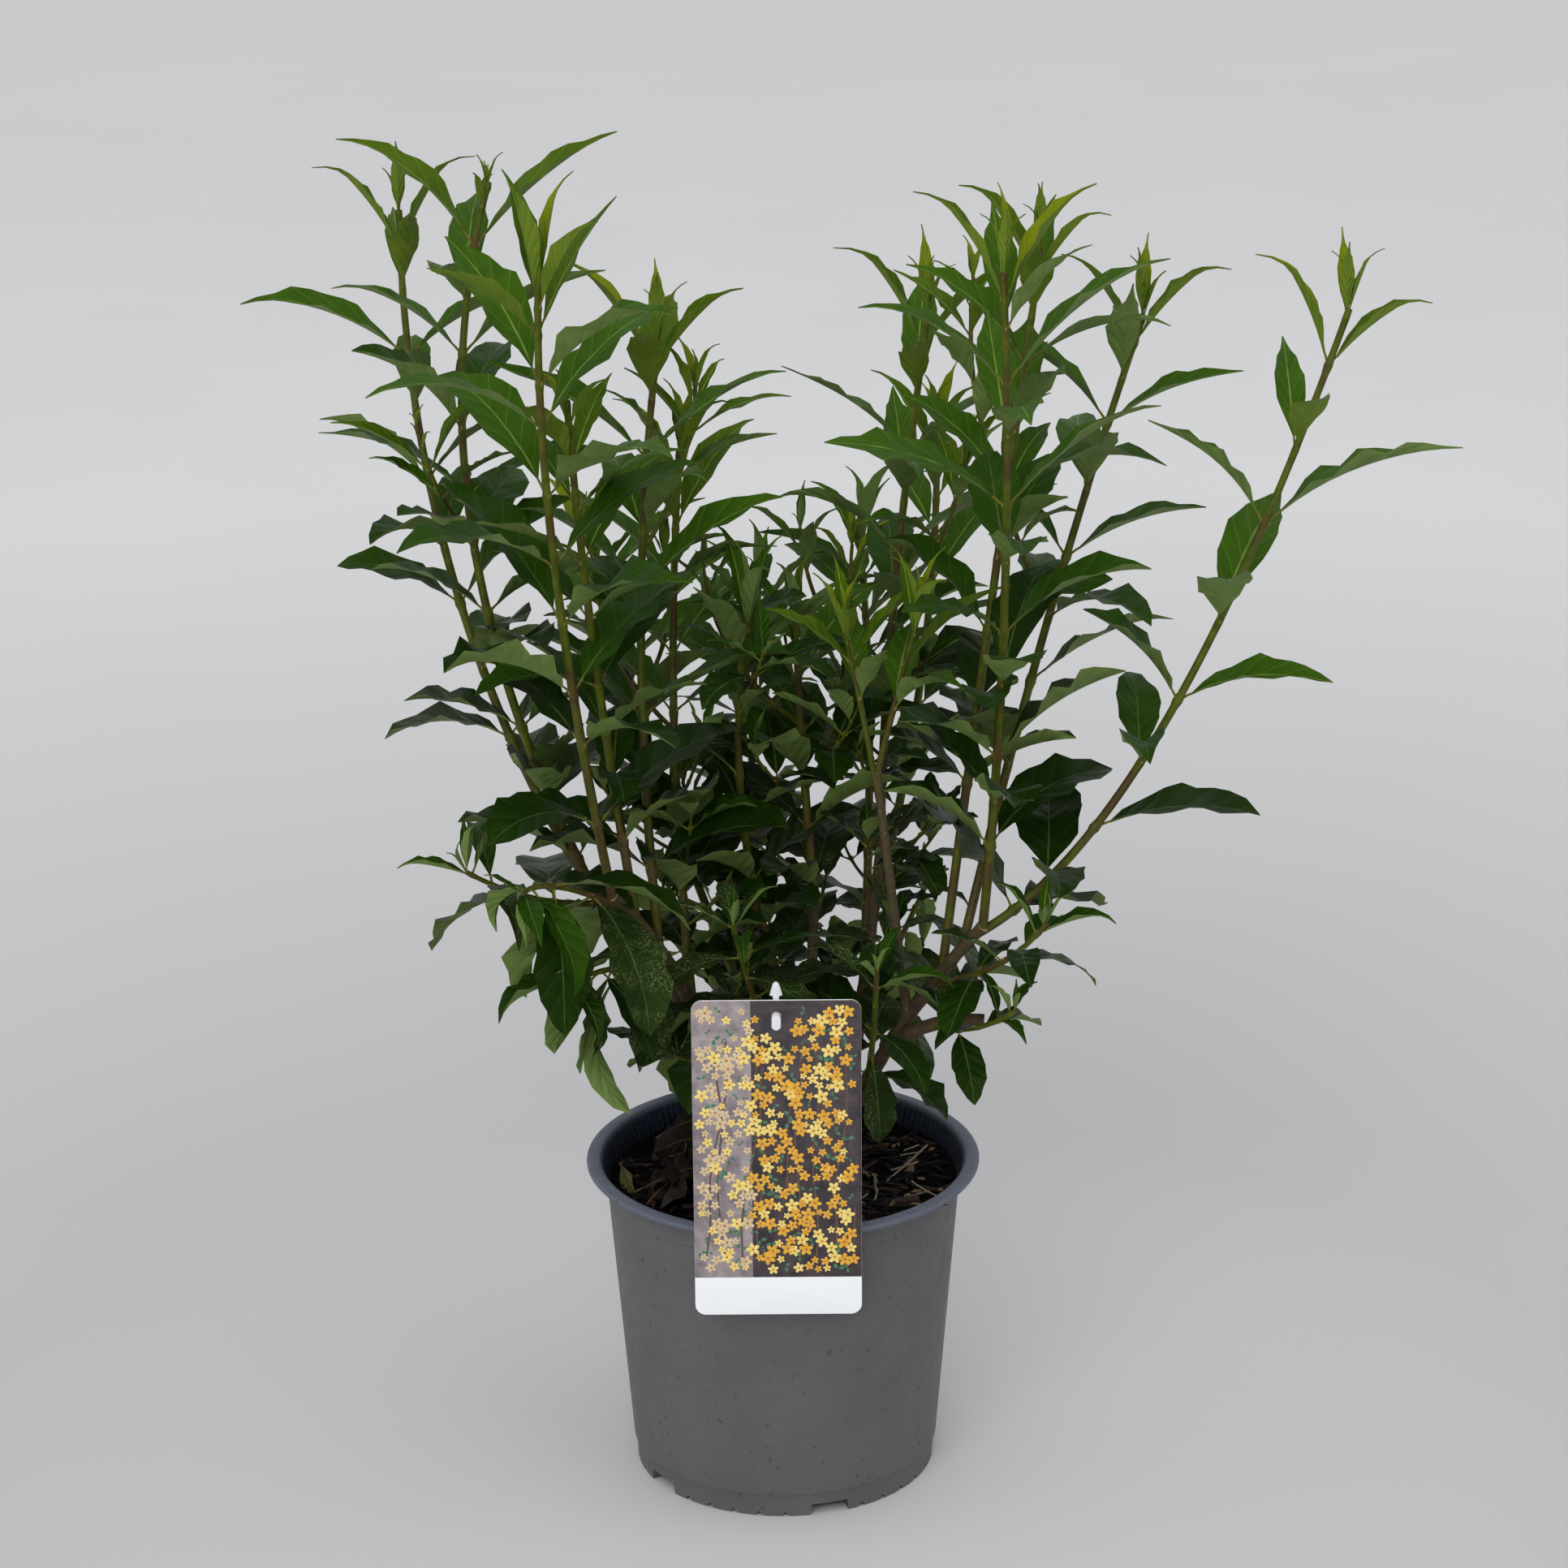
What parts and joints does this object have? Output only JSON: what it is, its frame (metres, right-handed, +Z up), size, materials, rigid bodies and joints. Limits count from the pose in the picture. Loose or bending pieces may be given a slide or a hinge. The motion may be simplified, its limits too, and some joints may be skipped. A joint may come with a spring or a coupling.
{
  "type": "potted forsythia shrub",
  "caption": "Young forsythia shrub with long leafy canes on short woody boughs, standing in its round plastic nursery pot with a hanging picture label on a stake.",
  "frame": {"origin": "middle of the pot's flat underside", "axes": "+Z up along the pot's axis, -Y out through the front with the label"},
  "size_m": [0.5591, 0.3533, 0.6542],
  "materials": {
    "pot": "matt grey moulded plastic with a faint grain, bluer and smoother on the lip",
    "potting_mix": "loose dark brown bark and peat with pale straws, not shiny",
    "label": "smooth printed plastic card with a soft sheen and rounded corners",
    "stake": "smooth white moulded plastic",
    "bark": "thin brown bark with raised pale pores and ringed nodes",
    "foliage": "leathery green leaves with pale veins, glossier above than below, on green stems"
  },
  "bodies": {
    "root": {"pot": "pot", "potting_mix": "potting_mix", "label": "label", "label_stake": "stake", "left_bough": "bark", "right_bough": "bark", "left_back_bough": "bark", "middle_bough": "bark", "right_back_bough": "bark", "back_bough": "bark", "forked_bough": "bark", "cut_stub": "bark", "left_front_cane": "foliage", "left_outer_cane": "foliage", "left_rear_cane": "foliage", "left_side_cane": "foliage", "left_tall_cane": "foliage", "left_inner_cane": "foliage", "centre_fork_left": "foliage", "centre_fork_right": "foliage", "centre_upright_cane": "foliage", "centre_left_cane": "foliage", "centre_back_cane": "foliage", "right_back_cane": "foliage", "right_front_cane": "foliage", "right_middle_cane": "foliage", "right_slanting_cane": "foliage", "right_arching_cane": "foliage", "back_left_cane": "foliage", "back_middle_cane": "foliage", "back_right_cane": "foliage", "left_low_spray": "foliage", "left_hanging_spray": "foliage", "left_back_spray": "foliage", "right_low_spray": "foliage", "right_hanging_spray": "foliage", "centre_low_spray": "foliage", "centre_right_spray": "foliage", "back_low_spray": "foliage", "back_right_spray": "foliage"}
  },
  "joints": []
}
